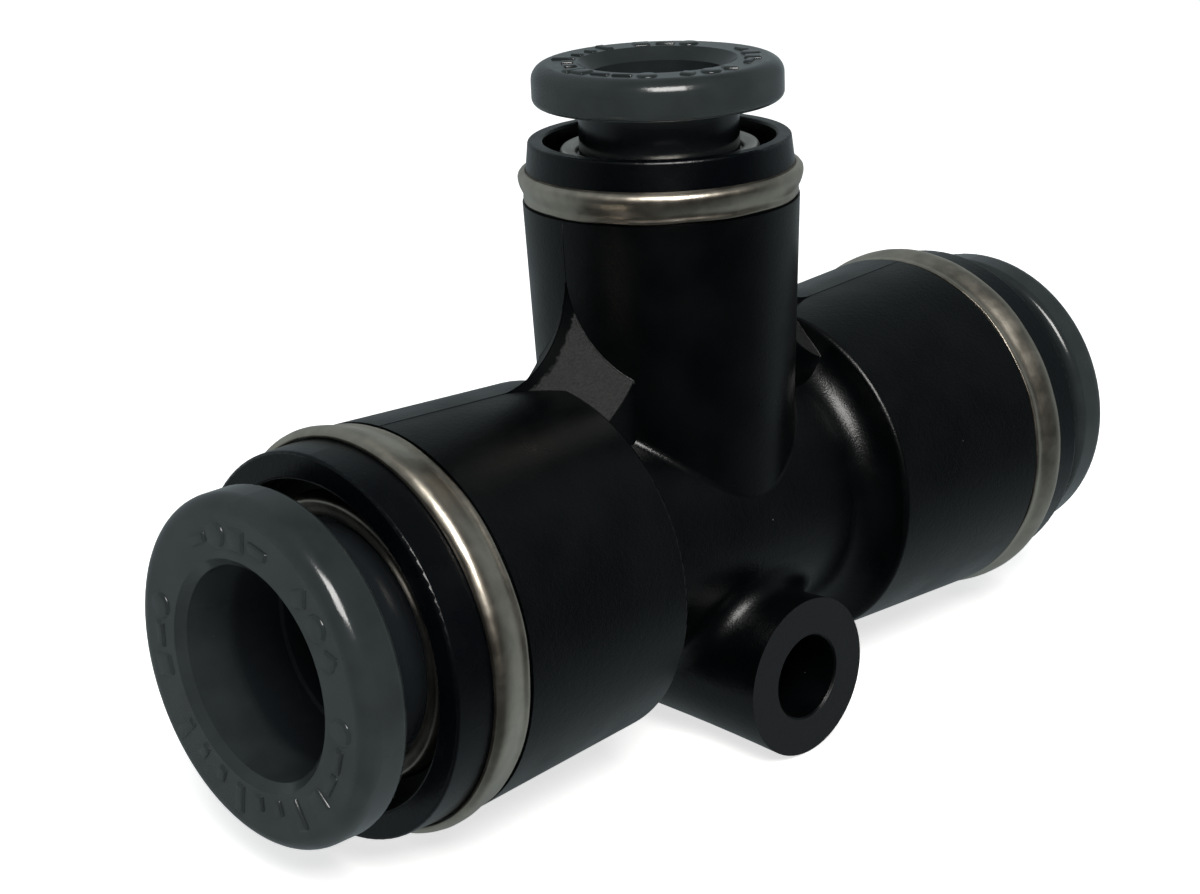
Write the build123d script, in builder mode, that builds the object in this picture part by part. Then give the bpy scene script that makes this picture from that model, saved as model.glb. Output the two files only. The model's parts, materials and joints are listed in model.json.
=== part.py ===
from build123d import *
import os
from dataclasses import dataclass

# Push to connect reducing union tee, in millimetres.
# The origin is the centre of the mounting hole. +X runs along the two large ports, to the right,
# +Z points out of the small branch port, and the mounting hole runs along Y.
# Heights inside a port are measured from the tee centre, outwards along the port's own axis.

# ---------------------------------------------------------------- fits and clearances
running_gap = 0.075        # each side of a grip ring, so that it turns freely
seat_gap = 0.05            # radial play of a piece that only sits in its seat
sleeve_gap = 0.08          # guide ring's sleeve inside the collar
stem_gap = 0.15            # button stem through the guide ring's lip, radial
bead_gap = 0.17            # button's snap bead inside the guide ring's sleeve, radial
stop_gap = 0.05            # snap bead below the guide ring's lip with the button out
claw_gap = 0.10            # button's tip above the claws with the button fully pressed
seal_gap = 0.03            # O-ring inside its gland, radial and axial
tip_gap = 0.05             # tube inside the button's tip, radial
socket_gap = 0.12          # tube inside the body's socket and the backup ring, radial

# ---------------------------------------------------------------- tee body
waist_wall = 3.2           # wall round the waterway between the two barrels
shoulder_gap = 1.9         # branch root to the inner face of each run barrel
shoulder_fillet = 1.6      # hollow from the waist up to the barrel's inner face
shoulder_round = 0.25      # edge of the barrel's inner face
stop_wall = 0.5            # barrel's inner face to the tube stop inside it
draft = 0.044              # fall of a barrel's radius for each millimetre of its length
branch_draft = 0.036
band_land = 0.20           # depth of the turned-down land that takes the band, radial
boss_r = 4.0               # mounting boss at its faces
boss_mid_r = 3.75          # mounting boss at the parting plane
boss_half = 9.0            # mounting boss from the parting plane to each face
hole_r = 2.1               # mounting hole, clears an M4 screw
hole_chamfer = 0.1
hole_wall = 0.96           # wall between the mounting hole and the waterway
boss_fillet = 1.0          # hollow between the boss and the waist
branch_fillet = 0.4        # hollow between the branch and the waist
gusset_arc = 4.6           # radius of the gusset's hollow edge
gusset_half = 3.2          # gusset from the parting plane to each flat side
gusset_slope = 40.0        # fall of the hollow face from the parting plane, in degrees
gusset_buried_z = 1.1      # gusset's buried edge above the run's axis
collar_round = 0.15        # edges of a collar's face
tip_chamfer = 0.35         # outer edge of a button's tip
lip_round = 0.8            # round of the guide ring's lip, as a share of its sheet
band_rise = 0.75           # band's low shoulder, as a share of its crown
band_peak = 0.75           # height of the band's crown up the collar's flange, as a share
band_lip = 0.3             # thickness of the band's turned-in edge, as a share of its sheet


@dataclass
class PortSize:
    """Sizes of one tube port. Radii and heights that fit another piece are worked out from these."""
    tube_d: float              # outside diameter of the tube
    waterway_r: float          # passage below the tube stop
    socket_l: float            # tube stop to the seal gland
    barrel_wall: float         # moulded wall outside the collar's counterbore
    counterbore_l: float       # depth of the counterbore from the barrel's end
    seal_cs: float             # O-ring section
    seal_squeeze: float        # how far the O-ring reaches inside the tube's radius
    backup_t: float            # backup ring height
    backup_drop: float         # fall of the backup ring's hollow seat
    grip_t: float              # grip ring sheet
    grip_seat: float           # grip ring's rim outside the seal gland, radial
    claw_drop: float           # fall of the claws from rim to tip
    claw_bite: float           # how far the claws reach inside the tube's radius
    claws: int                 # number of claws
    claw_slit: float           # slit between two claws
    guide_t: float             # guide ring sheet
    guide_foot: float          # guide ring's foot outside the grip ring, radial
    guide_h: float             # top of the guide ring above the barrel's end
    collar_h: float            # collar face above the barrel's end
    recess_w: float            # open ring between the guide ring and the collar's rim
    recess_l: float            # depth of that open ring
    rim_wall: float            # collar's rim
    rim_draft: float           # growth of the collar's radius from its face to the band
    collar_step: float         # collar's flange under the band, height
    collar_lip: float          # collar's flange outside the barrel's land, radial
    band_back: float           # band's back edge below the barrel's end
    band_front: float          # band's front edge above the barrel's end
    band_t: float              # band sheet
    band_crown: float          # rise of the band's crown above its edges
    entry_gap: float           # tube in the mouth of the button, radial
    mouth: float               # chamfer at the mouth of the button
    guide_land: float          # close-fitting length at the button's tip
    stem_wall: float           # button's stem
    bead_h: float              # snap bead above the stem
    bead_l: float              # snap bead length
    travel: float              # button's travel
    reserve: float             # gap left under the flange at full travel
    flange_w: float            # flange outside the stem, radial
    flange_t: float            # flange thickness
    flange_round: float        # round of the flange's front edge
    flange_back_round: float   # round of the flange's back edge

    # radii, from the tube outwards
    @property
    def tube_r(self):
        return self.tube_d / 2

    @property
    def bore_r(self):
        return self.tube_r + self.entry_gap

    @property
    def tip_r(self):
        return self.tube_r + tip_gap

    @property
    def socket_r(self):
        return self.tube_r + socket_gap

    @property
    def stem_r(self):
        return self.bore_r + self.stem_wall

    @property
    def bead_r(self):
        return self.stem_r + self.bead_h

    @property
    def guide_r(self):
        return self.bead_r + bead_gap + self.guide_t

    @property
    def seal_mid_r(self):
        return self.tube_r - self.seal_squeeze + self.seal_cs / 2

    @property
    def gland_r(self):
        return self.seal_mid_r + self.seal_cs / 2 + seal_gap

    @property
    def grip_r(self):
        return self.gland_r + self.grip_seat

    @property
    def foot_r(self):
        return self.grip_r + self.guide_foot

    @property
    def counterbore_r(self):
        return self.foot_r + 2 * seat_gap

    @property
    def recess_r(self):
        return self.guide_r + self.recess_w

    @property
    def collar_r(self):
        return self.recess_r + self.rim_wall

    @property
    def barrel_r(self):
        return self.counterbore_r + self.barrel_wall

    @property
    def land_r(self):
        return self.barrel_r - band_land

    # heights along the port, counted from the tube stop outwards
    @property
    def gland_l(self):
        return self.seal_cs + 2 * seal_gap + self.backup_t

    @property
    def pocket_l(self):
        return self.grip_t + 2 * running_gap

    @property
    def barrel_l(self):
        return self.socket_l + self.gland_l + self.pocket_l + self.counterbore_l

    @property
    def flange_h(self):
        return self.collar_h + self.travel + self.reserve


run_size = PortSize(
    tube_d=9.525, waterway_r=3.4, socket_l=4.71, barrel_wall=1.67, counterbore_l=2.2,
    seal_cs=1.78, seal_squeeze=0.14, backup_t=1.6, backup_drop=1.05,
    grip_t=0.3, grip_seat=0.45, claw_drop=0.9, claw_bite=0.11, claws=10, claw_slit=0.5,
    guide_t=0.4, guide_foot=0.65, guide_h=2.2,
    collar_h=3.1, recess_w=1.01, recess_l=1.9, rim_wall=1.29, rim_draft=0.06, collar_step=0.85,
    collar_lip=0.13, band_back=1.0, band_front=1.18, band_t=0.28, band_crown=0.18,
    entry_gap=0.19, mouth=0.4, guide_land=2.7, stem_wall=0.65, bead_h=0.55, bead_l=0.8,
    travel=1.5, reserve=0.3, flange_w=2.53, flange_t=2.35, flange_round=0.8, flange_back_round=0.45,
)

branch_size = PortSize(
    tube_d=6.35, waterway_r=2.2, socket_l=4.34, barrel_wall=1.17, counterbore_l=1.7,
    seal_cs=1.4, seal_squeeze=0.12, backup_t=1.2, backup_drop=0.75,
    grip_t=0.25, grip_seat=0.4, claw_drop=0.7, claw_bite=0.09, claws=8, claw_slit=0.4,
    guide_t=0.3, guide_foot=0.55, guide_h=1.9,
    collar_h=2.3, recess_w=0.76, recess_l=1.4, rim_wall=0.73, rim_draft=0.2, collar_step=0.6,
    collar_lip=0.12, band_back=0.65, band_front=0.93, band_t=0.24, band_crown=0.17,
    entry_gap=0.08, mouth=0.6, guide_land=2.0, stem_wall=0.62, bead_h=0.5, bead_l=0.6,
    travel=1.3, reserve=0.38, flange_w=2.17, flange_t=1.96, flange_round=0.75, flange_back_round=0.4,
)

branch_stop = 7.9          # tee centre to the branch's tube stop

# ---------------------------------------------------------------- sizes that follow
run_axis_z = hole_r + hole_wall + run_size.waterway_r
waist_r = run_size.waterway_r + waist_wall
branch_root_r = branch_size.barrel_r - branch_draft * (branch_stop + branch_size.barrel_l)
shoulder_x = branch_root_r + shoulder_gap
run_stop = shoulder_x + stop_wall
run_end = run_stop + run_size.barrel_l
branch_end = branch_stop + branch_size.barrel_l
shoulder_r = run_size.barrel_r - draft * (run_end - shoulder_x)
tee_centre = Vector(0, 0, run_axis_z)
tee_plane = Plane(origin=tee_centre, x_dir=(1, 0, 0), z_dir=(0, -1, 0))
run_axis = Axis(tee_centre, (1, 0, 0))
boss_plane = Plane(origin=(0, 0, 0), x_dir=(0, 0, -1), z_dir=(1, 0, 0))


@dataclass
class Port:
    """One tube port: its sizes, the way it points, and the plane that its profiles are drawn in."""
    name: str
    size: PortSize
    outward: Vector
    radial: Vector
    stop: float                # tee centre to the tube stop

    @property
    def plane(self):
        return Plane(origin=tee_centre, x_dir=self.radial, z_dir=self.radial.cross(self.outward))

    @property
    def axis(self):
        return Axis(tee_centre, self.outward)

    @property
    def gland(self):
        return self.stop + self.size.socket_l

    @property
    def pocket(self):
        return self.gland + self.size.gland_l

    @property
    def ledge(self):
        return self.pocket + self.size.pocket_l

    @property
    def end(self):
        return self.ledge + self.size.counterbore_l

    @property
    def grip_top(self):
        return self.ledge - running_gap

    @property
    def lip_under(self):
        return self.end + self.size.guide_h - self.size.guide_t

    @property
    def flange_back(self):
        return self.end + self.size.flange_h


ports = [
    Port("left", run_size, Vector(-1, 0, 0), Vector(0, 0, 1), run_stop),
    Port("right", run_size, Vector(1, 0, 0), Vector(0, 0, 1), run_stop),
    Port("branch", branch_size, Vector(0, 0, 1), Vector(1, 0, 0), branch_stop),
]


def claw_tip_r(size):
    """Inner radius of the claws."""
    return size.tube_r - size.claw_bite


def claw_root_r(size):
    """Radius where the claws leave the grip ring's flat rim."""
    return (size.stem_r + size.bead_r) / 2


def claw_top(port, radius):
    """Height of the claws' outer side at a radius."""
    size = port.size
    slope = size.claw_drop / (claw_root_r(size) - claw_tip_r(size))
    return port.grip_top - slope * (claw_root_r(size) - radius)


def export(part, name):
    """Label a finished piece and write it as its own node."""
    part.label = name
    export_step(part, f"parts/{name}.step")


os.makedirs("parts", exist_ok=True)

# ---------------------------------------------------------------- tee body
# A gusset's outline in the parting plane: a hollow arc that leaves the barrel's top and the branch's
# side without a step, closed by lines buried in the body.
gusset_top_z = shoulder_r + draft * gusset_arc / 2
gusset_side_x = branch_root_r + branch_draft * (gusset_top_z + gusset_arc)
gusset_far_x = gusset_side_x + gusset_arc
gusset_high_z = gusset_top_z + gusset_arc

with BuildPart() as gusset:
    with BuildSketch(tee_plane):
        with BuildLine():
            RadiusArc((-gusset_far_x, gusset_top_z), (-gusset_side_x, gusset_high_z), -gusset_arc)
            Polyline(
                (-gusset_side_x, gusset_high_z),
                (0, gusset_high_z),
                (0, gusset_buried_z),
                (-gusset_far_x, gusset_buried_z),
                (-gusset_far_x, gusset_top_z),
            )
        make_face()
    extrude(amount=gusset_half, both=True, taper=gusset_slope)

with BuildPart() as tee_body:
    # both run barrels and the waist between them
    with BuildSketch(tee_plane):
        with BuildLine():
            Polyline(
                (-run_end, 0),
                (-run_end, run_size.land_r),
                (-run_end + run_size.band_back, run_size.land_r),
                (-run_end + run_size.band_back, run_size.barrel_r),
                (-shoulder_x, shoulder_r),
                (-shoulder_x, waist_r + shoulder_fillet),
            )
            RadiusArc(
                (-shoulder_x, waist_r + shoulder_fillet),
                (-shoulder_x + shoulder_fillet, waist_r),
                -shoulder_fillet,
            )
            Line((-shoulder_x + shoulder_fillet, waist_r), (shoulder_x - shoulder_fillet, waist_r))
            RadiusArc(
                (shoulder_x - shoulder_fillet, waist_r),
                (shoulder_x, waist_r + shoulder_fillet),
                -shoulder_fillet,
            )
            Polyline(
                (shoulder_x, waist_r + shoulder_fillet),
                (shoulder_x, shoulder_r),
                (run_end - run_size.band_back, run_size.barrel_r),
                (run_end - run_size.band_back, run_size.land_r),
                (run_end, run_size.land_r),
                (run_end, 0),
                (-run_end, 0),
            )
        make_face()
    revolve(axis=run_axis)
    shoulders = tee_body.edges().filter_by(GeomType.CIRCLE)
    fillet(shoulders.filter_by(lambda edge: abs(edge.radius - shoulder_r) < 1e-6), shoulder_round)

    # branch barrel
    with BuildSketch(ports[2].plane):
        with BuildLine():
            Polyline(
                (0, 0),
                (branch_size.barrel_r - branch_draft * branch_end, 0),
                (branch_size.barrel_r, branch_end - branch_size.band_back),
                (branch_size.land_r, branch_end - branch_size.band_back),
                (branch_size.land_r, branch_end),
                (0, branch_end),
                (0, 0),
            )
        make_face()
    revolve(axis=ports[2].axis)
    fillet(tee_body.edges(Select.LAST).filter_by(GeomType.BSPLINE), branch_fillet)

    # mounting boss, a little narrower at the parting plane
    with BuildSketch(boss_plane):
        with BuildLine():
            ThreePointArc((boss_r, -boss_half), (boss_mid_r, 0), (boss_r, boss_half))
            Polyline((boss_r, boss_half), (0, boss_half), (0, -boss_half), (boss_r, -boss_half))
        make_face()
    revolve(axis=Axis.Y)
    fillet(tee_body.edges(Select.LAST).filter_by(GeomType.BSPLINE), boss_fillet)

    # gussets between the branch and the two run barrels
    add(gusset.part)
    mirror(gusset.part, about=Plane.YZ)

    # stepped sockets and the waterway
    for port in ports:
        size = port.size
        with BuildSketch(port.plane):
            with BuildLine():
                Polyline(
                    (0, 0),
                    (size.waterway_r, 0),
                    (size.waterway_r, port.stop),
                    (size.socket_r, port.stop),
                    (size.socket_r, port.gland),
                    (size.gland_r, port.gland),
                    (size.gland_r, port.pocket),
                    (size.grip_r + 2 * seat_gap, port.pocket),
                    (size.grip_r + 2 * seat_gap, port.ledge),
                    (size.counterbore_r, port.ledge),
                    (size.counterbore_r, port.end),
                    (0, port.end),
                    (0, 0),
                )
            make_face()
        revolve(axis=port.axis, mode=Mode.SUBTRACT)

    # mounting hole through the boss
    with BuildSketch(Plane.XZ):
        Circle(hole_r)
    extrude(amount=boss_half, both=True, mode=Mode.SUBTRACT)
    rims = tee_body.edges().filter_by(GeomType.CIRCLE)
    chamfer(rims.filter_by(lambda edge: abs(edge.radius - hole_r) < 1e-6), hole_chamfer)
export(tee_body.part, "tee_body")

for port in ports:
    size = port.size
    end = port.end

    # ------------------------------------------------------------ O-ring that seals on the tube
    with BuildPart() as tube_seal:
        with BuildSketch(port.plane):
            with Locations((size.seal_mid_r, port.gland + seal_gap + size.seal_cs / 2)):
                Circle(size.seal_cs / 2)
        revolve(axis=port.axis)
    export(tube_seal.part, f"tube_seal_{port.name}")

    # ------------------------------------------------------------ backup ring between seal and claws
    backup_top = port.pocket
    backup_base = port.pocket - size.backup_t
    backup_inner = size.socket_r
    backup_outer = size.gland_r - seat_gap
    with BuildPart() as backup_ring:
        with BuildSketch(port.plane):
            with BuildLine():
                Polyline(
                    (backup_inner, backup_base),
                    (backup_outer, backup_base),
                    (backup_outer, backup_top),
                    (backup_inner, backup_top - size.backup_drop),
                    (backup_inner, backup_base),
                )
            make_face()
        revolve(axis=port.axis)
    export(backup_ring.part, f"backup_ring_{port.name}")

    # ------------------------------------------------------------ grip ring, slit into claws
    claw_root = claw_root_r(size)
    claw_tip = claw_tip_r(size)
    grip_base = port.grip_top - size.grip_t
    with BuildPart() as grip_ring:
        with BuildSketch(port.plane):
            with BuildLine():
                Polyline(
                    (claw_tip, port.grip_top - size.claw_drop),
                    (claw_tip, grip_base - size.claw_drop),
                    (claw_root, grip_base),
                    (size.grip_r, grip_base),
                    (size.grip_r, port.grip_top),
                    (claw_root, port.grip_top),
                    (claw_tip, port.grip_top - size.claw_drop),
                )
            make_face()
        revolve(axis=port.axis)
        slit_plane = Plane(origin=port.axis.position, x_dir=port.radial, z_dir=port.outward)
        with BuildSketch(slit_plane.offset(port.grip_top)):
            with PolarLocations(0, size.claws):
                with Locations((claw_root / 2, 0)):
                    Rectangle(claw_root, size.claw_slit)
        extrude(amount=-(size.grip_t + 2 * size.claw_drop), mode=Mode.SUBTRACT)
    export(grip_ring.part, f"grip_ring_{port.name}")

    # ------------------------------------------------------------ guide ring, a drawn cup
    sleeve_inner = size.guide_r - size.guide_t
    lip_r = size.stem_r + stem_gap
    lip_top = end + size.guide_h
    foot_top = port.ledge + size.guide_t
    with BuildPart() as guide_ring:
        with BuildSketch(port.plane):
            with BuildLine():
                Polyline(
                    (sleeve_inner, port.ledge),
                    (size.foot_r, port.ledge),
                    (size.foot_r, foot_top),
                    (size.guide_r, foot_top),
                    (size.guide_r, lip_top),
                    (lip_r, lip_top),
                    (lip_r, port.lip_under),
                    (sleeve_inner, port.lip_under),
                    (sleeve_inner, port.ledge),
                )
            make_face()
        revolve(axis=port.axis)
        lip_edges = guide_ring.edges().filter_by(GeomType.CIRCLE).sort_by(port.axis)[-2:]
        fillet(lip_edges.sort_by(SortBy.RADIUS)[-1], lip_round * size.guide_t)
    export(guide_ring.part, f"guide_ring_{port.name}")

    # ------------------------------------------------------------ collar pressed into the barrel's end
    face = end + size.collar_h
    flange_top = end + size.collar_step
    spigot_r = size.counterbore_r - seat_gap
    collar_bore = size.guide_r + sleeve_gap
    band_seat_r = size.collar_r + size.rim_draft
    with BuildPart() as end_collar:
        with BuildSketch(port.plane):
            with BuildLine():
                Polyline(
                    (collar_bore, foot_top),
                    (spigot_r, foot_top),
                    (spigot_r, end),
                    (size.land_r + size.collar_lip, end),
                    (size.land_r + size.collar_lip, flange_top),
                    (band_seat_r, flange_top),
                    (size.collar_r, face),
                    (size.recess_r, face),
                    (size.recess_r, face - size.recess_l),
                    (collar_bore, face - size.recess_l),
                    (collar_bore, foot_top),
                )
            make_face()
        revolve(axis=port.axis)
        face_edges = end_collar.edges().filter_by(GeomType.CIRCLE).sort_by(port.axis)[-2:]
        fillet(face_edges, collar_round)
    export(end_collar.part, f"end_collar_{port.name}")

    # ------------------------------------------------------------ band crimped over collar and barrel
    band_low = end - size.band_back
    band_high = end + size.band_front
    band_inner = size.land_r
    band_outer = band_inner + size.band_t
    crown_r = band_outer + size.band_crown
    lip_t = band_lip * size.band_t
    with BuildPart() as retaining_band:
        with BuildSketch(port.plane):
            with BuildLine():
                Polyline(
                    (band_seat_r, band_high),
                    (band_seat_r, flange_top),
                    (size.land_r + size.collar_lip, flange_top),
                    (size.land_r + size.collar_lip, end),
                    (band_inner, end),
                    (band_inner, band_low),
                    (band_outer, band_low),
                )
                Spline(
                    (band_outer, band_low),
                    (band_outer + band_rise * size.band_crown, (band_low + end) / 2 + size.band_t),
                    (crown_r, end + band_peak * size.collar_step),
                    (crown_r - 2 * lip_t, band_high - size.band_t / 2),
                    (band_seat_r + lip_t, band_high),
                )
                Line((band_seat_r + lip_t, band_high), (band_seat_r, band_high))
            make_face()
        revolve(axis=port.axis)
    export(retaining_band.part, f"retaining_band_{port.name}")

    # ------------------------------------------------------------ release button
    tip = claw_top(port, size.stem_r - tip_chamfer) + claw_gap + size.travel
    bead_top = port.lip_under - stop_gap
    flange_front = port.flange_back + size.flange_t
    land_top = tip + size.guide_land
    with BuildPart() as release_button:
        with BuildSketch(port.plane):
            with BuildLine():
                Polyline(
                    (size.tip_r, tip),
                    (size.stem_r - tip_chamfer, tip),
                    (size.stem_r, tip + tip_chamfer),
                    (size.stem_r, bead_top - size.bead_l - size.bead_h),
                    (size.bead_r, bead_top - size.bead_l),
                    (size.bead_r, bead_top),
                    (size.stem_r, bead_top),
                    (size.stem_r, port.flange_back),
                    (size.stem_r + size.flange_w, port.flange_back),
                    (size.stem_r + size.flange_w, flange_front),
                    (size.bore_r + size.mouth, flange_front),
                    (size.bore_r, flange_front - size.mouth),
                    (size.bore_r, land_top + size.entry_gap - tip_gap),
                    (size.tip_r, land_top),
                    (size.tip_r, tip),
                )
            make_face()
        revolve(axis=port.axis)
        rim_edges = release_button.edges().filter_by(GeomType.CIRCLE).group_by(SortBy.RADIUS)[-1]
        fillet(rim_edges.sort_by(port.axis)[-1], size.flange_round)
        rim_edges = release_button.edges().filter_by(GeomType.CIRCLE).group_by(SortBy.RADIUS)[-1]
        fillet(rim_edges.sort_by(port.axis)[0], size.flange_back_round)
    export(release_button.part, f"release_button_{port.name}")
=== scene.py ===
import json
import math

import bmesh
import bpy
from mathutils import Matrix, Vector, noise
from mathutils.bvhtree import BVHTree


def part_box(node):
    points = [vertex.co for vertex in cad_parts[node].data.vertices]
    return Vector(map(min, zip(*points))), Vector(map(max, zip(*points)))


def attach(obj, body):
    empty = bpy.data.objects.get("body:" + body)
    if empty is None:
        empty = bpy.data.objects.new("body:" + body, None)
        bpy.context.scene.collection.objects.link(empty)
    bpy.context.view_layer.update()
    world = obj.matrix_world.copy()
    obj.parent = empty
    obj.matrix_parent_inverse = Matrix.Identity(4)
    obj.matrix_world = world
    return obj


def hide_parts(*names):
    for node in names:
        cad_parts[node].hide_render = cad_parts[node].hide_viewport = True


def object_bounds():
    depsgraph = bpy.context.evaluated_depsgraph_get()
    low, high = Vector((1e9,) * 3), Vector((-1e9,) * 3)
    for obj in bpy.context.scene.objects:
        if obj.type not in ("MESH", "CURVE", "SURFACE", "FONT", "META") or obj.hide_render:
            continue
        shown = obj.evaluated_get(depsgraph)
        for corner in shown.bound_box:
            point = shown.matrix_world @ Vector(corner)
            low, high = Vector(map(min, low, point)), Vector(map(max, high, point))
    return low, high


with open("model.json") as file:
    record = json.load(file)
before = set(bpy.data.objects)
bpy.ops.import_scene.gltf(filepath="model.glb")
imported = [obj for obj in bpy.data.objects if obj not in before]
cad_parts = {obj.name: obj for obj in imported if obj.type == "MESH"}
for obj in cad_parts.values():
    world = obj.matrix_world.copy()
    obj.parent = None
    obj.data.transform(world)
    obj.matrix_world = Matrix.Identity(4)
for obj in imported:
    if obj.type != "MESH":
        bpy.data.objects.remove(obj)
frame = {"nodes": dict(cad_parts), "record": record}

cad_lo, cad_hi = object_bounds()

MM = 0.001
PORTS = {
    "left": Vector((-1, 0, 0)),
    "right": Vector((1, 0, 0)),
    "branch": Vector((0, 0, 1)),
}
scene = bpy.context.scene
joints = {j["name"]: j for j in frame["record"]["behaviour"]["joints"]}
tee_centre = Vector(joints["branch_turn"]["pos_m"])

# the hollow of a gusset: its arc's centre out from the branch and above the hole, its radius, and how it widens
# away from the middle plane
HOLLOW_X = 11.179 * MM
HOLLOW_Z = 19.966 * MM
HOLLOW_RADIUS = 4.6 * MM
HOLLOW_FALL = math.tan(math.radians(40))
# the back face of a button's flange, from the tee centre
FLANGE_BACK_RUN = 24.193 * MM
FLANGE_BACK_BRANCH = 20.98 * MM
# where a look fades in, as (none, full)
HOLLOW_SKIN = (0.10 * MM, 0.03 * MM)  # off the hollow's surface
HOLLOW_SIDES = (3.30 * MM, 3.20 * MM)  # from the middle plane
HOLLOW_ENDS = (0.0, -0.2 * MM)  # out or up from the centre of its arc
WORN_DEPTH = (-1.3 * MM, -1.7 * MM)  # up from the centre of its arc
WORN_STRIP = (0.30 * MM, 0.50 * MM)  # from the middle plane
RAGGED_SIZE = 0.3  # millimetres across a tooth of the worn edge
RAGGED_REACH = 1.2 * MM  # between the furthest teeth of the worn edge
STRIP_RAGGEDNESS = 0.3  # of the strip's edge, in shares of the worn edge's
BOSS_FACE = (8.97 * MM, 8.99 * MM)  # from the middle plane
BOSS_DISC = (4.2 * MM, 4.1 * MM)  # from the hole's axis
# the painted shade on a button's stem, below its flange:
STEM_SHADE = (-0.1 * MM, -0.9 * MM)  # out from the back of the flange
WELL_FADE = 0.15  # millimetres inside a well's radius


# ---------------------------------------------------------------- materials
class Finish:
    """One Principled material whose colour, roughness and bump come from procedural nodes."""

    def __init__(self, name, **sockets):
        self.mat = bpy.data.materials.new(name)
        self.mat.use_nodes = True
        self.nodes = self.mat.node_tree.nodes
        self.links = self.mat.node_tree.links
        self.shader = self.nodes["Principled BSDF"]
        for socket, value in sockets.items():
            self.shader.inputs[socket.replace("_", " ")].default_value = value
        self.place = self.nodes.new("ShaderNodeTexCoord").outputs["Object"]

    def feed(self, socket, value):
        if isinstance(value, bpy.types.NodeSocket):
            self.links.new(value, socket)
        else:
            socket.default_value = value

    def stretch(self, x, y, z):
        """Object coordinates, scaled along each axis."""
        node = self.nodes.new("ShaderNodeMapping")
        self.links.new(self.place, node.inputs["Vector"])
        node.inputs["Scale"].default_value = (x, y, z)
        return node.outputs["Vector"]

    def grain(self, size, detail=3.0, rough=0.5, vector=None):
        """Noise from 0 to 1 whose features are about size millimetres across."""
        node = self.nodes.new("ShaderNodeTexNoise")
        self.links.new(vector or self.place, node.inputs["Vector"])
        node.inputs["Scale"].default_value = 1 / (size * MM)
        node.inputs["Detail"].default_value = detail
        node.inputs["Roughness"].default_value = rough
        return node.outputs["Fac"]

    def specks(self, spacing, radius):
        """One small round speck in each cell, 1 inside it and 0 outside."""
        node = self.nodes.new("ShaderNodeTexVoronoi")
        self.links.new(self.place, node.inputs["Vector"])
        node.inputs["Scale"].default_value = 1 / (spacing * MM)
        return self.ramp(node.outputs["Distance"], radius / spacing, 0.6 * radius / spacing)

    def ramp(self, value, low, high, out_low=0.0, out_high=1.0):
        """Maps low..high to out_low..out_high, clamped and smooth."""
        node = self.nodes.new("ShaderNodeMapRange")
        node.interpolation_type = "SMOOTHSTEP"
        self.feed(node.inputs["Value"], value)
        node.inputs["From Min"].default_value = low
        node.inputs["From Max"].default_value = high
        node.inputs["To Min"].default_value = out_low
        node.inputs["To Max"].default_value = out_high
        return node.outputs["Result"]

    def maths(self, operation, a, b=0.0):
        node = self.nodes.new("ShaderNodeMath")
        node.operation = operation
        self.feed(node.inputs[0], a)
        self.feed(node.inputs[1], b)
        return node.outputs["Value"]

    def plus(self, a, b):
        return self.maths("ADD", a, b)

    def minus(self, a, b):
        return self.maths("SUBTRACT", a, b)

    def times(self, a, b):
        return self.maths("MULTIPLY", a, b)

    def unsigned(self, value):
        return self.maths("ABSOLUTE", value)

    def hypotenuse(self, a, b):
        return self.maths("SQRT", self.plus(self.maths("POWER", a, 2), self.maths("POWER", b, 2)))

    def blend(self, share, a, b):
        """Colour a where share is 0 and colour b where it is 1."""
        node = self.nodes.new("ShaderNodeMix")
        node.data_type = "RGBA"
        self.feed(node.inputs[0], share)
        for socket, value in ((node.inputs[6], a), (node.inputs[7], b)):
            self.feed(socket, value if isinstance(value, bpy.types.NodeSocket) else (*value, 1))
        return node.outputs[2]

    def axis(self, name):
        """One object coordinate."""
        node = self.nodes.new("ShaderNodeSeparateXYZ")
        self.links.new(self.place, node.inputs["Vector"])
        return node.outputs[name]

    def away(self, along, height):
        """Distance from a line along one axis, through x = y = 0 at a height."""
        parts = []
        for name in "XYZ".replace(along, ""):
            value = self.axis(name)
            if name == "Z":
                value = self.minus(value, height)
            parts.append(self.unsigned(value))
        return self.hypotenuse(*parts)

    def colour(self, value):
        self.links.new(value, self.shader.inputs["Base Color"])

    def roughness(self, value):
        self.links.new(value, self.shader.inputs["Roughness"])

    def bump(self, *layers):
        """Layers are (height from 0 to 1, depth in millimetres)."""
        normal = None
        for height, depth in layers:
            node = self.nodes.new("ShaderNodeBump")
            node.inputs["Strength"].default_value = 1.0
            node.inputs["Distance"].default_value = depth * MM
            self.feed(node.inputs["Height"], height)
            if normal:
                self.links.new(normal, node.inputs["Normal"])
            normal = node.outputs["Normal"]
        self.links.new(normal, self.shader.inputs["Normal"])


SATIN_SPECULAR = 0.35
STRIP_SPECULAR = 0.03
WORN_DARK = (0.0050, 0.0058, 0.0056)
WORN_LIGHT = (0.0165, 0.0180, 0.0172)
BOSS_COLOUR = (0.0060, 0.0070, 0.0085)
# painted shade for the recess inside a collar
WELL_SHADE_COLOUR = (0.0003, 0.0004, 0.0005)
PLASTIC_DUST = (0.09, 0.10, 0.10)
BUTTON_DUST = (0.07, 0.08, 0.083)
# painted shade: a button's stem is coloured darker below its flange, where the flange's shadow falls
STEM_SHADE_COLOUR = (0.0095, 0.0118, 0.0138)


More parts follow.
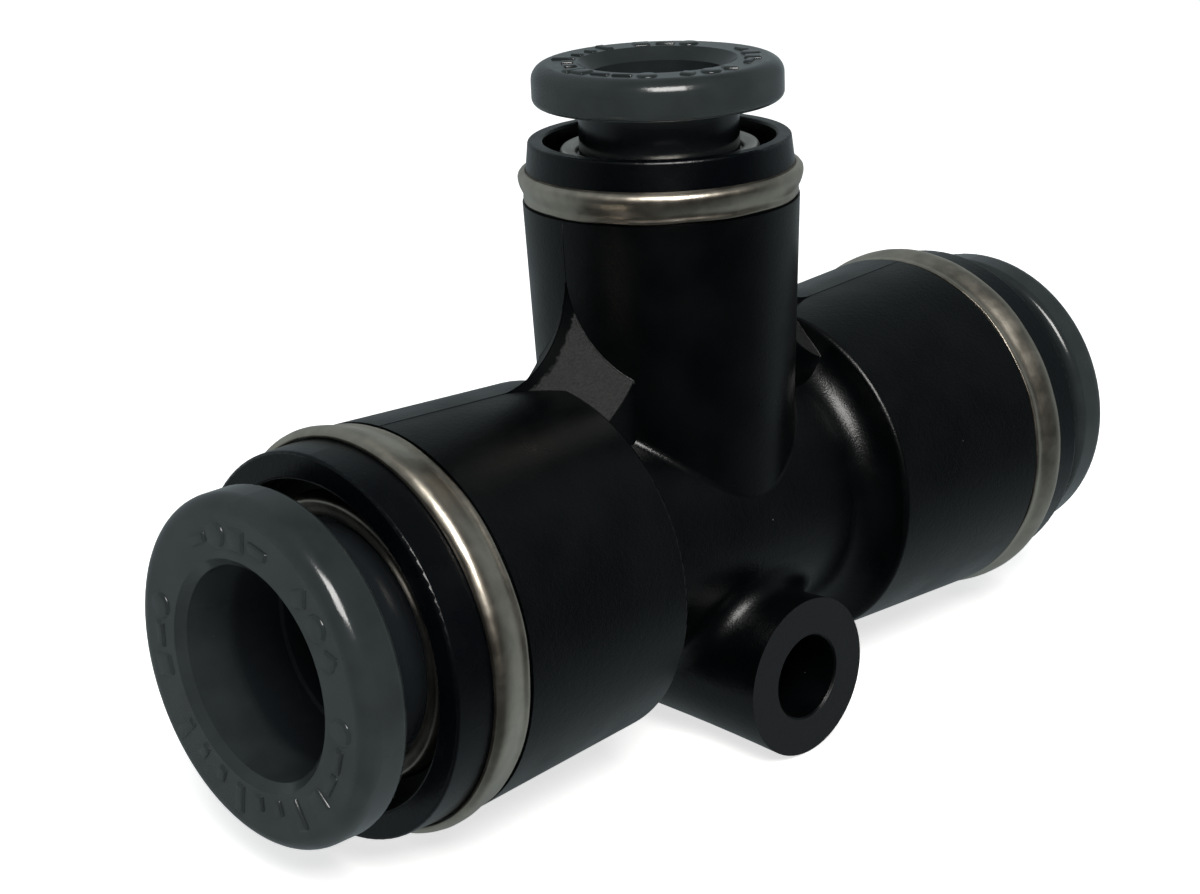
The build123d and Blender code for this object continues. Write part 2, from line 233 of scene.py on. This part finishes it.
def gusset_hollow(f):
    """Where the surface is the hollow of a gusset, and where its skin is worn: low down, to either side of a
    middle strip, with a ragged edge."""
    across = f.minus(f.unsigned(f.axis("X")), HOLLOW_X)
    rise = f.minus(f.axis("Z"), HOLLOW_Z)
    y = f.unsigned(f.axis("Y"))
    off_arc = f.minus(f.minus(f.hypotenuse(across, rise), HOLLOW_RADIUS), f.times(y, HOLLOW_FALL))
    hollow = f.ramp(f.unsigned(off_arc), *HOLLOW_SKIN)
    hollow = f.times(hollow, f.ramp(y, *HOLLOW_SIDES))
    hollow = f.times(hollow, f.ramp(f.maths("MAXIMUM", across, rise), *HOLLOW_ENDS))
    ragged = f.times(f.minus(f.grain(RAGGED_SIZE), 0.5), RAGGED_REACH)
    worn = f.ramp(f.plus(rise, ragged), *WORN_DEPTH)
    worn = f.times(worn, f.ramp(f.plus(y, f.times(ragged, STRIP_RAGGEDNESS)), *WORN_STRIP))
    return hollow, worn


def moulded(name, dark, light, rough, grain_depth, body=False, well=None):
    """Satin black moulded plastic: cloudy, finely grained, with a few dust specks. The tee body also has
    worn gussets and dull boss faces. Inside a well, an (axis, radius in millimetres), it is dull, and darker
    with painted shade for the recess."""
    f = Finish(name, Specular_IOR_Level=SATIN_SPECULAR)
    cloud = f.grain(2.6)
    fine = f.ramp(f.grain(0.09, 2.0), 0.2, 0.8)
    colour = f.blend(f.ramp(cloud, 0.3, 0.7), dark, light)
    roughness = f.ramp(cloud, 0.25, 0.75, rough - 0.04, rough + 0.05)
    layers = [(cloud, 0.004), (f.grain(0.28, 2.0), 0.009), (fine, grain_depth)]
    if body:
        hollow, worn = gusset_hollow(f)
        roughness = f.plus(roughness, f.times(hollow, 0.28))
        polished = f.times(hollow, f.minus(1.0, worn))
        specular = f.ramp(polished, 0.0, 1.0, SATIN_SPECULAR, STRIP_SPECULAR)
        f.links.new(specular, f.shader.inputs["Specular IOR Level"])
        worn = f.times(hollow, worn)
        coarse = f.grain(0.13, 5.0, 0.75)
        colour = f.blend(worn, colour, f.blend(f.ramp(coarse, 0.35, 0.65), WORN_DARK, WORN_LIGHT))
        layers.append((f.times(worn, coarse), 0.07))
        outermost = f.ramp(f.unsigned(f.axis("Y")), *BOSS_FACE)
        boss_face = f.times(outermost, f.ramp(f.away("Y", 0.0), *BOSS_DISC))
        colour = f.blend(boss_face, colour, BOSS_COLOUR)
        roughness = f.plus(roughness, f.times(boss_face, 0.15))
    if well:
        along, radius = well
        # painted shade: the collar's recess round the guide ring is coloured darker, where shade falls
        inside = f.ramp(f.away(along, tee_centre.z), radius * MM, (radius - WELL_FADE) * MM)
        colour = f.blend(inside, colour, WELL_SHADE_COLOUR)
        roughness = f.plus(roughness, f.times(inside, 0.35))
    f.colour(f.blend(f.specks(3.1, 0.045), colour, PLASTIC_DUST))
    f.roughness(roughness)
    f.bump(*layers)
    return f.mat


def button_plastic():
    """Satin grey moulded plastic, darker below the flange where it slides: painted shade for the flange's
    shadow on the stem.
    """
    f = Finish("button_plastic", Specular_IOR_Level=0.5)
    cloud = f.grain(1.7, 4.0)
    colour = f.blend(f.ramp(cloud, 0.3, 0.7), (0.0165, 0.0202, 0.0207), (0.0205, 0.0252, 0.0257))
    colour = f.blend(f.specks(2.3, 0.05), colour, BUTTON_DUST)
    past_run = f.minus(f.unsigned(f.axis("X")), FLANGE_BACK_RUN)
    past_branch = f.minus(f.axis("Z"), tee_centre.z + FLANGE_BACK_BRANCH)
    # painted shade on the stem below the flange, where the flange's shadow falls
    stem = f.ramp(f.maths("MAXIMUM", past_run, past_branch), *STEM_SHADE)
    f.colour(f.blend(stem, colour, STEM_SHADE_COLOUR))
    f.roughness(f.ramp(f.grain(0.9), 0.25, 0.75, 0.14, 0.20))
    f.bump((cloud, 0.006), (f.grain(0.12, 2.0), 0.003))
    return f.mat


def metal(name, dark, light, rough, wave, closeness):
    """Plated sheet metal with cloudy staining and fine drawn lines, of a given closeness along each axis."""
    f = Finish(name, Metallic=1.0)
    cloud = f.grain(1.5, 5.0, 0.6)
    lines = f.grain(0.05, 3.0, 0.6, f.stretch(*closeness))
    f.colour(f.blend(f.ramp(cloud, 0.3, 0.7), dark, light))
    f.roughness(f.plus(f.ramp(cloud, 0.25, 0.75, rough, rough + 0.10), f.times(lines, 0.06)))
    f.bump((f.grain(0.8, 2.0), wave), (lines, 0.003))
    return f.mat


def plain(name, dark, light, rough, size, depth):
    """Evenly cloudy plastic or rubber with a fine grain."""
    f = Finish(name)
    cloud = f.grain(size)
    f.colour(f.blend(f.ramp(cloud, 0.3, 0.7), dark, light))
    f.roughness(f.ramp(cloud, 0.25, 0.75, rough - 0.05, rough + 0.05))
    f.bump((f.grain(size / 6, 2.0), depth))
    return f.mat


# a look is (dark colour, light colour, roughness, depth of its relief in millimetres)
BODY_LOOK = ((0.0003, 0.0006, 0.0008), (0.0006, 0.0010, 0.0013), 0.31, 0.005)
COLLAR_LOOK = ((0.0005, 0.0009, 0.0015), (0.0009, 0.0014, 0.0021), 0.27, 0.003)
BAND_LOOK = ((0.50, 0.45, 0.375), (0.65, 0.59, 0.50), 0.27, 0.016)
# the guide rings are one metal in two copies: the branch's is painted lighter, painted light for its lit lip,
# and the run rings' is the darker copy, for the shade under their flanges
GUIDE_LOOK = ((0.36, 0.325, 0.28), (0.48, 0.44, 0.385), 0.24, 0.006)
GUIDE_BRANCH_LIT_LOOK = ((0.74, 0.70, 0.63), (0.84, 0.80, 0.73), 0.28, 0.006)
GRIP_LOOK = ((0.36, 0.36, 0.36), (0.46, 0.46, 0.47), 0.22, 0.004)
# how close together drawn lines lie along each axis: they run round the port, or evenly all ways
ACROSS_RUN = (1.0, 0.08, 0.08)
ACROSS_BRANCH = (0.08, 0.08, 1.0)
EVEN = (1.0, 1.0, 1.0)
finishes = {
    "body": moulded("body_plastic", *BODY_LOOK, body=True),
    "collar": moulded("collar_run", *COLLAR_LOOK, well=("X", 7.75)),
    "collar_branch": moulded("collar_branch", *COLLAR_LOOK, well=("Z", 5.62)),
    "button": button_plastic(),
    "band": metal("band_run", *BAND_LOOK, ACROSS_RUN),
    "band_branch": metal("band_branch", *BAND_LOOK, ACROSS_BRANCH),
    "guide": metal("guide_run", *GUIDE_LOOK, ACROSS_RUN),
    "guide_branch": metal("guide_branch", *GUIDE_BRANCH_LIT_LOOK, ACROSS_BRANCH),
    "grip": metal("grip_steel", *GRIP_LOOK, EVEN),
    "backup": plain("backup_plastic", (0.30, 0.29, 0.25), (0.38, 0.37, 0.32), 0.45, 1.0, 0.004),
    "seal": plain("seal_rubber", (0.004, 0.004, 0.004), (0.008, 0.008, 0.008), 0.55, 0.8, 0.006),
}


def finish_for(slot, node):
    """A slot's finish, or its own one for the branch port where there is one."""
    along_branch = f"{slot}_branch" in finishes and node.endswith("_branch")
    return finishes[f"{slot}_branch" if along_branch else slot]


slots = {s["node"]: s["material_slot"] for s in frame["record"]["subparts"]}
for name, node in frame["nodes"].items():
    node.data.materials.clear()
    node.data.materials.append(finish_for(slots[name], name))


# ---------------------------------------------------------------- pieces
def piece(name, bm, body, material):
    """Turns a bmesh into a smooth piece that rides on a body."""
    bmesh.ops.recalc_face_normals(bm, faces=bm.faces)
    mesh = bpy.data.meshes.new(name)
    bm.to_mesh(mesh)
    bm.free()
    for face in mesh.polygons:
        face.use_smooth = True
    mesh.materials.append(material)
    obj = bpy.data.objects.new(name, mesh)
    scene.collection.objects.link(obj)
    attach(obj, body)
    return obj


def port_frame(outward):
    """Rotation whose local Z is the port's outward axis."""
    side = Vector((0, 0, 1)) if abs(outward.x) else Vector((1, 0, 0))
    return Matrix((side, outward.cross(side), outward)).transposed()


def reach(node, outward):
    """A ring node's inner and outer ends along its port and its outer radius, from its box."""
    lo, hi = (Vector(c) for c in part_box(node))
    ends = sorted((c - tee_centre).dot(outward) for c in (lo, hi))
    return ends[0], ends[1], (hi.y - lo.y) / 2


def turned(name, node, outward, section, steps, slot):
    """A ring in place of one of the housing's nodes, made by turning a section round its port. The section
    gives (radius, height) points for an angle."""
    turn = port_frame(outward)
    bm = bmesh.new()
    rings = []
    for i in range(steps):
        a = 2 * math.pi * i / steps
        ray = Vector((math.cos(a), math.sin(a), 0))
        spots = (tee_centre + turn @ (ray * r + Vector((0, 0, z))) for r, z in section(a))
        rings.append([bm.verts.new(spot) for spot in spots])
    for i in range(steps):
        here, there = rings[i], rings[(i + 1) % steps]
        for k in range(len(here)):
            n = (k + 1) % len(here)
            bm.faces.new((here[k], there[k], there[n], here[n]))
    obj = piece(name, bm, "housing", finish_for(slot, node))
    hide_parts(node)


# one trip round a band's section, as (share of its width, rise above its bore): a thin lip at the back edge,
# a groove, and the rolled crown over the collar, where the rise reaches its peak
BAND_SHARES = (
    (0.00, 0.02), (0.00, 0.183), (0.004, 0.190), (0.045, 0.212), (0.085, 0.215), (0.13, 0.198),
    (0.18, 0.195), (0.24, 0.215), (0.31, 0.262), (0.39, 0.320), (0.49, 0.378), (0.59, 0.422),
    (0.68, 0.447), (0.76, 0.455), (0.84, 0.430), (0.91, 0.355), (0.965, 0.215), (1.00, 0.030),
)
BAND_PEAK = 0.455
BAND_STEPS = 360
# a band's width and the depth of its section, on a large port
BAND_WIDTH = 2.2 * MM
BAND_DEPTH = 0.46 * MM
NARROW_DEPTH = 0.25  # a narrower band's section keeps this much more of its depth than of its width
# dents in the band, as (depth in millimetres, how close they lie), and the rise that takes their full depth
DENTS = ((0.045, 4.2), (0.018, 13.0))
DENTED_RISE = 0.2
# millimetres: the least lift of the skirt's edge, how much more its waves lift it, and the section's sway
SKIRT_LIFT, SKIRT_WAVE, SWAY = 0.10, 0.11, 0.05


def band(port, outward):
    """The crimped band, with the uneven skirt and shallow dents that crimping leaves."""
    node = f"retaining_band_{port}"
    low, high, outer = reach(node, outward)
    scale = (high - low) / BAND_WIDTH
    inner = outer - BAND_DEPTH * min(1.0, scale + NARROW_DEPTH)

    def section(a):
        skirt = 0.5 + 0.5 * math.sin(7 * a + 0.7) * math.cos(4 * a - 0.4)
        lift = (SKIRT_LIFT + SKIRT_WAVE * skirt) * MM * scale
        points = []
        for share, rise in BAND_SHARES:
            spot = Vector((math.cos(a), math.sin(a), 0.6 * share + len(port)))
            dent = sum(depth * (0.5 + 0.5 * noise.noise(close * spot)) for depth, close in DENTS)
            r = inner + (outer - inner) * rise / BAND_PEAK - dent * MM * min(1, rise / DENTED_RISE)
            sway = SWAY * MM * noise.noise(2.6 * spot) * math.sin(math.pi * share)
            points.append((r, low + lift + (high - low - lift) * share + sway))
        return points

    turned(f"band_{port}", node, outward, section, BAND_STEPS, "band")


# a guide ring's section in millimetres: how far inside its foot's radius the sleeve's outside, its inside
# and its mouth are, the thickness of the sheet, and the fall of the lip outwards and inwards
GUIDE_RUN = (0.81, 1.21, 1.78, 0.40, 0.40, 0.36)
GUIDE_BRANCH = (0.59, 0.89, 1.41, 0.30, 0.36, 0.27)
GUIDE_STEPS = 256
LIP_STEPS = 8
# where the lip is highest, as a share of the way in from the sleeve's outside to the mouth
LIP_CREST = 0.3


def guide(port, outward):
    """The guide ring's cup, whose rolled lip is domed."""
    node = f"guide_ring_{port}"
    low, high, foot = reach(node, outward)
    sizes = (v * MM for v in (GUIDE_BRANCH if port == "branch" else GUIDE_RUN))
    outside, inside, mouth, sheet, fall_out, fall_in = sizes
    crest = foot - outside - LIP_CREST * (mouth - outside)
    outline = [(foot, low), (foot, low + sheet), (foot - outside, low + sheet)]
    for k in range(2 * LIP_STEPS + 1):
        a = math.pi / 2 * k / LIP_STEPS
        fall, edge = (fall_out, foot - outside) if k < LIP_STEPS else (fall_in, 2 * crest - foot + mouth)
        outline.append((crest + (edge - crest) * math.cos(a), high - fall * (1 - math.sin(a))))
    outline += [(foot - mouth, high - sheet), (foot - inside, high - sheet), (foot - inside, low)]
    turned(f"guide_{port}", node, outward, lambda a: outline, GUIDE_STEPS, "guide")


def block(half_width, foot, top):
    """A rectangular outline."""
    return ((-half_width, foot), (half_width, foot), (half_width, top), (-half_width, top))


def disc(radius, steps):
    """A round outline."""
    angles = (2 * math.pi * k / steps for k in range(steps))
    return tuple((radius * math.cos(a), radius * math.sin(a)) for a in angles)


# outlines of the raised marks, (across, outwards) in shares of a mark's height
BAR = block(0.18, -0.5, 0.5)
STUB = block(0.18, -0.5, 0.0)
DASH = block(0.42, -0.15, 0.15)
DIAMOND = ((0.0, -0.48), (0.36, 0.0), (0.0, 0.48), (-0.36, 0.0))
SQUARE = block(0.36, -0.36, 0.36)
ROUND = disc(0.42, 20)
# groups of marks round a face, as (first angle in degrees, marks in order)
GROUPS = (
    (4, (ROUND, DASH, SQUARE)),
    (58, (BAR, STUB, STUB, BAR, STUB, STUB, BAR)),
    (154, (SQUARE, DASH, DASH, ROUND)),
    (222, (DIAMOND, ROUND, DIAMOND)),
    (276, (DASH, SQUARE, ROUND, DASH)),
)
MARK_STEP = 0.98  # from mark to mark, in mark heights
MARK_FOOT = (-0.03 * MM, 1.06)  # (height above the face, size of the outline)
MARK_TOP_SIZE = 0.86
MARK_ROUNDING = 0.05 * MM
# a face's marks: how far their middles are inside its rim, a mark's height and how far it stands out
MARKS_RUN = (1.76 * MM, 1.5 * MM, 0.12 * MM)
MARKS_BRANCH = (1.47 * MM, 1.2 * MM, 0.09 * MM)
# how far each face's groups are turned on, in degrees
MARKS_TURN = {"left": 70, "right": 0, "branch": 20}


def marks(port, outward):
    """Raised marks of no meaning round a button's face."""
    inset, height, raised = MARKS_BRANCH if port == "branch" else MARKS_RUN
    face, outer = reach(f"release_button_{port}", outward)[1:]
    middle = outer - inset
    turn = port_frame(outward)
    bm = bmesh.new()
    for start, group in GROUPS:
        for k, outline in enumerate(group):
            centre = math.radians(start + MARKS_TURN[port]) + k * MARK_STEP * height / middle
            foot, top = [], []
            for across, out in outline:
                for loop, (z, size) in ((foot, MARK_FOOT), (top, (raised, MARK_TOP_SIZE))):
                    r = middle + out * size * height
                    a = centre + across * size * height / middle
                    spot = Vector((r * math.cos(a), r * math.sin(a), face + z))
                    loop.append(bm.verts.new(tee_centre + turn @ spot))
            bm.faces.new(top)
            bm.faces.new(foot[::-1])
            for i in range(len(foot)):
                n = (i + 1) % len(foot)
                bm.faces.new((foot[i], foot[n], top[n], top[i]))
    obj = piece(f"marks_{port}", bm, f"button_{port}", finishes["button"])
    bevel = obj.modifiers.new("round", "BEVEL")
    bevel.width = MARK_ROUNDING
    bevel.segments = 3
    bevel.limit_method = "ANGLE"


SEAM_HALF_WIDTH = 0.05 * MM
SEAM_HEIGHT = 0.025 * MM
SEAM_SINK = 0.2  # how deep its edges lie, in seam heights
SEAM_CLEARANCE = 0.05 * MM  # how far off its face the look for a wall starts
# metres within which vertices are joined, in the body's own mesh and in the seam
MESH_JOIN = 1e-7
SEAM_JOIN = 2e-6


def parting_line():
    """The fine ridge that the mould halves leave round the tee body, on its middle plane."""
    bm = bmesh.new()
    bm.from_mesh(frame["nodes"]["tee_body"].data)
    bmesh.ops.remove_doubles(bm, verts=bm.verts, dist=MESH_JOIN)
    walls = BVHTree.FromBMesh(bm)
    for y, outer in ((SEAM_HALF_WIDTH, True), (-SEAM_HALF_WIDTH, True), (0.0, False)):
        bmesh.ops.bisect_plane(
            bm,
            geom=bm.verts[:] + bm.edges[:] + bm.faces[:],
            plane_co=(0, y, 0),
            plane_no=(0, 1 if y >= 0 else -1, 0),
            clear_outer=outer,
        )
    covered = []
    for face in bm.faces:
        start = face.calc_center_median() + face.normal * SEAM_CLEARANCE
        if walls.ray_cast(start, face.normal)[0] is not None:
            covered.append(face)
    bmesh.ops.delete(bm, geom=covered, context="FACES")
    bmesh.ops.remove_doubles(bm, verts=bm.verts, dist=SEAM_JOIN)
    bm.normal_update()
    moves = [(v, v.normal.copy()) for v in bm.verts]
    for v, normal in moves:
        crest = abs(v.co.y) < SEAM_HALF_WIDTH / 2
        v.co += normal * (SEAM_HEIGHT if crest else -SEAM_SINK * SEAM_HEIGHT)
    piece("parting_line", bm, "housing", finishes["body"])


for port, outward in PORTS.items():
    band(port, outward)
    guide(port, outward)
    marks(port, outward)
parting_line()


# ---------------------------------------------------------------- stage, lights and camera
def aim(azimuth, elevation):
    """Unit vector towards a viewer at that azimuth and elevation, in degrees."""
    a, e = math.radians(azimuth), math.radians(elevation)
    return Vector((math.sin(a) * math.cos(e), -math.cos(a) * math.cos(e), math.sin(e)))


FLOOR_SIZE = 3.0
FLOOR_GAP = 0.1 * MM
floor_finish = Finish(
    "floor", Roughness=0.9, Specular_IOR_Level=0.1, Emission_Color=(1, 1, 1, 1), Emission_Strength=0.70
)
floor_finish.colour(floor_finish.blend(floor_finish.grain(60.0), (0.86, 0.86, 0.86), (0.90, 0.90, 0.90)))
bm = bmesh.new()
bmesh.ops.create_grid(bm, x_segments=8, y_segments=8, size=FLOOR_SIZE)
floor_mesh = bpy.data.meshes.new("floor")
bm.to_mesh(floor_mesh)
bm.free()
floor_mesh.materials.append(floor_finish.mat)
floor = bpy.data.objects.new("floor", floor_mesh)
floor.location.z = cad_lo.z - FLOOR_GAP
floor.visible_glossy = False
scene.collection.objects.link(floor)

world = bpy.data.worlds.new("studio")
scene.world = world
world.use_nodes = True
world.node_tree.nodes.clear()


def world_node(kind, **values):
    """A node of the world, with each named input linked or set."""
    node = world.node_tree.nodes.new(kind)
    for socket, value in values.items():
        socket = node.inputs[socket.replace("_", " ")]
        if isinstance(value, bpy.types.NodeSocket):
            world.node_tree.links.new(value, socket)
        else:
            socket.default_value = value
    return node


def shades(value, *stops):
    """Grey by a value from -1 to 1. Stops are (value, shade)."""
    share = world_node("ShaderNodeMapRange", Value=value, From_Min=-1.0, From_Max=1.0)
    ramp = world_node("ShaderNodeValToRGB", Fac=share.outputs["Result"])
    elements = ramp.color_ramp.elements
    while len(elements) < len(stops):
        elements.new(0.5)
    for element, (at, shade) in zip(elements, stops):
        element.position = (at + 1) / 2
        element.color = (shade, shade, shade, 1)
    return ramp.outputs["Color"]


def combine(operation, a, b):
    """Two directions or colours, put together by a vector operation."""
    node = world_node("ShaderNodeVectorMath")
    node.operation = operation
    world.node_tree.links.new(a, node.inputs[0])
    if isinstance(b, bpy.types.NodeSocket):
        world.node_tree.links.new(b, node.inputs[1])
    else:
        node.inputs[1].default_value = b
    return node.outputs["Value" if operation == "DOT_PRODUCT" else "Vector"]


# the room by direction: a pale table below, a wall behind and another to the right, dark elsewhere and
# darkest in front, where the camera stands
direction = world_node("ShaderNodeTexCoord").outputs["Generated"]
facing = world_node("ShaderNodeSeparateXYZ", Vector=direction).outputs
table = shades(facing["Z"], (-1, 0.28), (-0.75, 0.25), (-0.5, 0.15), (-0.28, 0.035), (0.3, 0.022), (1, 0.09))
beside = shades(facing["X"], (-1, 0.0), (0.62, 0.0), (0.86, 0.18), (1, 0.20))
forwards = combine("DOT_PRODUCT", direction, (-0.66, -0.68, -0.32))
in_front = shades(forwards, (-1, 1.0), (0.25, 1.0), (0.75, 0.2), (1, 0.15))
behind = shades(facing["Y"], (-1, 0.0), (0.2, 0.0), (0.6, 0.17), (0.95, 0.26))
above_table = shades(facing["Z"], (-1, 0.0), (-0.6, 0.0), (-0.35, 1.0), (1, 1.0))
light = combine("MULTIPLY", combine("ADD", table, beside), in_front)
light = combine("ADD", light, combine("MULTIPLY", behind, above_table))
room_colour = combine("MULTIPLY", light, (0.86, 1.0, 1.04))
room = world_node("ShaderNodeBackground", Color=room_colour)
backdrop = world_node("ShaderNodeBackground", Color=(1, 1, 1, 1))
rays = world_node("ShaderNodeLightPath").outputs
seen = world_node("ShaderNodeMixShader", Fac=rays["Is Camera Ray"])
world.node_tree.links.new(room.outputs["Background"], seen.inputs[1])
world.node_tree.links.new(backdrop.outputs["Background"], seen.inputs[2])
world_node("ShaderNodeOutputWorld", Surface=seen.outputs["Shader"])


def area(name, azimuth, elevation, distance, size, watts, colour):
    """A square soft light that faces the fitting."""
    data = bpy.data.lights.new(name, "AREA")
    data.shape = "SQUARE"
    data.size = size
    data.energy = watts
    data.color = colour
    obj = bpy.data.objects.new(name, data)
    back = aim(azimuth, elevation)
    obj.location = tee_centre + back * distance
    obj.rotation_mode = "QUATERNION"
    obj.rotation_quaternion = (-back).to_track_quat("-Z", "Y")
    scene.collection.objects.link(obj)


area("key", azimuth=-35, elevation=47, distance=0.5, size=0.25, watts=3.1, colour=(1.0, 0.985, 0.96))

# the main view of the fitting: where the camera stands round the tee centre, how it is turned, how far to
# the right and upwards it is shifted, and its lens in millimetres
VIEW_AZIMUTH, VIEW_ELEVATION, VIEW_ROLL = -44.085, 18.603, -2.287
VIEW_DISTANCE = 120.558 * MM
VIEW_RIGHT = -3.435 * MM
VIEW_UP = 3.440 * MM
FOCAL_LENGTH, SENSOR_WIDTH = 71.562, 36.0
CLIP_NEAR, CLIP_FAR = 0.005, 20.0
back = aim(VIEW_AZIMUTH, VIEW_ELEVATION)
right = (-back).cross(Vector((0, 0, 1))).normalized()
up = right.cross(-back)
roll = math.radians(VIEW_ROLL)
right_rolled = math.cos(roll) * right + math.sin(roll) * up
up_rolled = math.cos(roll) * up - math.sin(roll) * right
lens = bpy.data.cameras.new("camera")
lens.sensor_width = SENSOR_WIDTH
lens.lens = FOCAL_LENGTH
lens.clip_start = CLIP_NEAR
lens.clip_end = CLIP_FAR
camera = bpy.data.objects.new("camera", lens)
pose = Matrix((right_rolled, up_rolled, back)).transposed().to_4x4()
pose.translation = tee_centre + back * VIEW_DISTANCE + right * VIEW_RIGHT + up * VIEW_UP
camera.matrix_world = pose
scene.collection.objects.link(camera)
scene.camera = camera
scene.view_settings.view_transform = "Standard"
